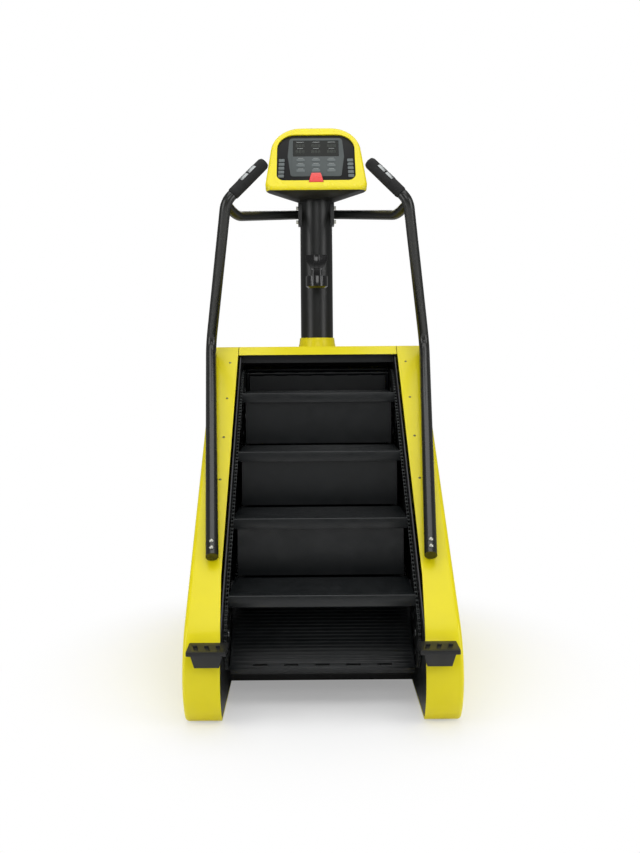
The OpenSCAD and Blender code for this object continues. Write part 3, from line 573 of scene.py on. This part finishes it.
def outline(circles, count=72):
    """Points round the band that is drawn tight about some circles, given as x, y and radius."""
    cloud = []
    for x, y, r in circles:
        for i in range(count):
            angle = 2 * math.pi * i / count
            cloud.append((round(x + r * math.cos(angle), 7), round(y + r * math.sin(angle), 7)))
    cloud = sorted(set(cloud))

    def half(points):
        """The hull's corners on one side, for points sorted along x."""
        kept = []
        for p in points:
            while len(kept) > 1 and (
                    (kept[-1][0] - kept[-2][0]) * (p[1] - kept[-2][1])
                    - (kept[-1][1] - kept[-2][1]) * (p[0] - kept[-2][0])) <= 0:
                kept.pop()
            kept.append(p)
        return kept[:-1]

    return half(cloud) + half(cloud[::-1])


def shell_ring(inset, depth):
    """The shell's outline, drawn in by inset, at a depth below the console's face."""
    ring = outline([(s * 0.176, 0.024, max(0.034 - inset, 0.001)) for s in (-1, 1)]
                   + [(s * 0.062, 0.195, 0.128 - inset) for s in (-1, 1)])
    return [face_place @ Vector((x, y, depth)) for x, y in ring]


def hulled(name, points, cell, passes):
    """The tight skin round a cloud of points, remeshed in cells and smoothed."""
    mesh = bpy.data.meshes.new(name)
    mesh.from_pydata([tuple(p) for p in points], [], [])
    piece = bpy.data.objects.new(name, mesh)
    bpy.context.scene.collection.objects.link(piece)
    take(piece)
    bpy.ops.object.mode_set(mode="EDIT")
    bpy.ops.mesh.select_all(action="SELECT")
    bpy.ops.mesh.convex_hull()
    bpy.ops.object.mode_set(mode="OBJECT")
    skin = piece.modifiers.new("skin", "REMESH")
    skin.mode = "VOXEL"
    skin.voxel_size = cell
    bpy.ops.object.modifier_apply(modifier="skin")
    even = piece.modifiers.new("even", "SMOOTH")
    even.factor = 0.5
    even.iterations = passes
    bpy.ops.object.modifier_apply(modifier="even")
    return piece


column_y = (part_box("column")[0].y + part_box("column")[1].y) / 2
shell_low = 1.797
throat_low = 1.780
cloud = []
for inset, depth in ((0, -0.040), (0, -0.014), (0.0012, -0.009), (0.004, -0.005),
                     (0.009, -0.0018), (0.016, 0), (0.014, -0.080), (0.038, -0.108)):
    cloud += shell_ring(inset, depth)
for radius, top in ((0.104, 1.866), (0.084, 1.904)):
    for i in range(64):
        x, y = turned(Vector((0, column_y + 0.002)), radius, 2 * math.pi * i / 64)
        cloud += [Vector((x, y, throat_low)), Vector((x, y, top))]
shell = hulled("console_shell_moulding", cloud, 0.0026, 6)
bpy.ops.object.mode_set(mode="EDIT")
bpy.ops.mesh.select_all(action="SELECT")
bpy.ops.mesh.bisect(plane_co=(0, 0, shell_low), plane_no=(0, 0, 1), clear_inner=True, use_fill=True)
bpy.ops.object.mode_set(mode="OBJECT")


def face_block(name, ring, low_z, high_z):
    """A block with a flat outline on the console's face, from depth low_z to high_z."""
    mesh = bpy.data.meshes.new(name)
    mesh.from_pydata([(x, y, low_z) for x, y in ring], [], [list(range(len(ring)))])
    block = bpy.data.objects.new(name, mesh)
    bpy.context.scene.collection.objects.link(block)
    take(block)
    bpy.ops.object.mode_set(mode="EDIT")
    bpy.ops.mesh.select_all(action="SELECT")
    bpy.ops.mesh.extrude_region_move(TRANSFORM_OT_translate={"value": (0, 0, high_z - low_z)})
    bpy.ops.mesh.select_all(action="SELECT")
    bpy.ops.mesh.normals_make_consistent(inside=False)
    bpy.ops.object.mode_set(mode="OBJECT")
    block.matrix_world = face_place
    bpy.ops.object.transform_apply(location=True, rotation=True, scale=True)
    return block


def cut(piece, tool):
    """Cuts the tool's shape out of a piece."""
    take(piece)
    pocket = piece.modifiers.new("pocket", "BOOLEAN")
    pocket.object = tool
    pocket.operation = "DIFFERENCE"
    pocket.solver = "EXACT"
    bpy.ops.object.modifier_apply(modifier="pocket")
    bpy.data.objects.remove(tool)


pocket_low = -0.0128
pocket_high = 0.02
bezel_ring = outline([(s * 0.132, 0.066, 0.0314) for s in (-1, 1)]
                     + [(s * 0.085, 0.203, 0.0774) for s in (-1, 1)])
stop_ring = [(-0.0312, 0.0248), (0.0312, 0.0248), (0.0270, 0.0466), (0.0198, 0.0742),
             (-0.0198, 0.0742), (-0.0270, 0.0466)]
cut(shell, face_block("bezel_pocket", bezel_ring, pocket_low, pocket_high))
cut(shell, face_block("stop_pocket", stop_ring, pocket_low, pocket_high))
take(shell)
bpy.ops.object.shade_smooth_by_angle(angle=math.radians(38))
console_yellow = coated(
    "moulded_abs_gloss_yellow", "#E8D806", 0.26, 5.0, 0.03, coat=0.2, patchy=0.03, shine=0.35)
settle(shell, console_yellow, "frame")
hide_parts("console_shell")

finished("console_base", grained_black, 2.0, smooth=60)
bezel_black = coated("moulded_abs_satin_black", "#0C0D0E", 0.4, 1.0, 0.02, shine=0.15)
finished("console_bezel", bezel_black, 1.0, smooth=40)
film = coated("printed_polycarbonate_film", "#4C5252", 0.42, 1.2, 0.02, shine=0.2)
finished("console_overlay", film, 0.4, smooth=40)
smoked = coated("smoked_acrylic", "#101410", 0.16, 6.0, 0.004, patchy=0.02, shine=0.2)
finished("display_lens", smoked)
key_film = coated("silicone_key_grey", "#656C6C", 0.5, 1.0, 0.03, shine=0.2)
finished("keypad", key_film, 0.5, smooth=40)
stop_red = coated("moulded_abs_bright_red", "#DD2218", 0.28, 2.0, 0.02, coat=0.3)
finished("stop_key", stop_red, 1.0, smooth=40)


def printed(name, marks, material):
    """Raised marks on the console's face, each given as x, y, width, height and depth."""
    raised = 0.0003
    made = []
    for x, y, width, height, depth in marks:
        bpy.ops.object.select_all(action="DESELECT")
        bpy.ops.mesh.primitive_cube_add(
            size=1, location=(x, y, depth), scale=(width, height, raised))
        made.append(bpy.context.object)
    take(*made)
    bpy.ops.object.join()
    piece = bpy.context.object
    piece.name = name
    bpy.ops.object.transform_apply(location=True, rotation=True, scale=True)
    piece.matrix_world = face_place
    settle(piece, material, "frame")


segment_off = coated("display_segment_dim", "#3A4239", 0.4, 3.0, 0.002)
under_lens = -0.0037
on_film = -0.0033
group_xs = (-0.066, 0, 0.066)
digit_gap = 0.0135
bar_long, bar_thick, bar_tall = 0.0062, 0.0012, 0.0048
digits = []
for row_y in (0.222, 0.190):
    for group_x in group_xs:
        for digit in (-1, 0, 1):
            x = group_x + digit * digit_gap
            for dy in (-0.0065, 0, 0.0065):
                digits.append((x, row_y + dy, bar_long, bar_thick, under_lens))
            for dx in (-0.0040, 0.0040):
                for dy in (-0.0033, 0.0033):
                    digits.append((x + dx, row_y + dy, bar_thick, bar_tall, under_lens))
printed("display_segments", digits, segment_off)
print_grey = coated("screen_print_pale_grey", "#A9AEAC", 0.5, 3.0, 0.002)
above_key = 0.0105
captions = [(x, 0.241, 0.030, 0.0016, under_lens) for x in group_xs]
captions += [(x, 0.2065, 0.024, 0.0014, under_lens) for x in group_xs]
captions += [(x, y + above_key, 0.022, 0.0014, on_film)
             for x in (-0.064, 0, 0.064) for y in (0.143, 0.115, 0.087)]
printed("captions", captions, print_grey)
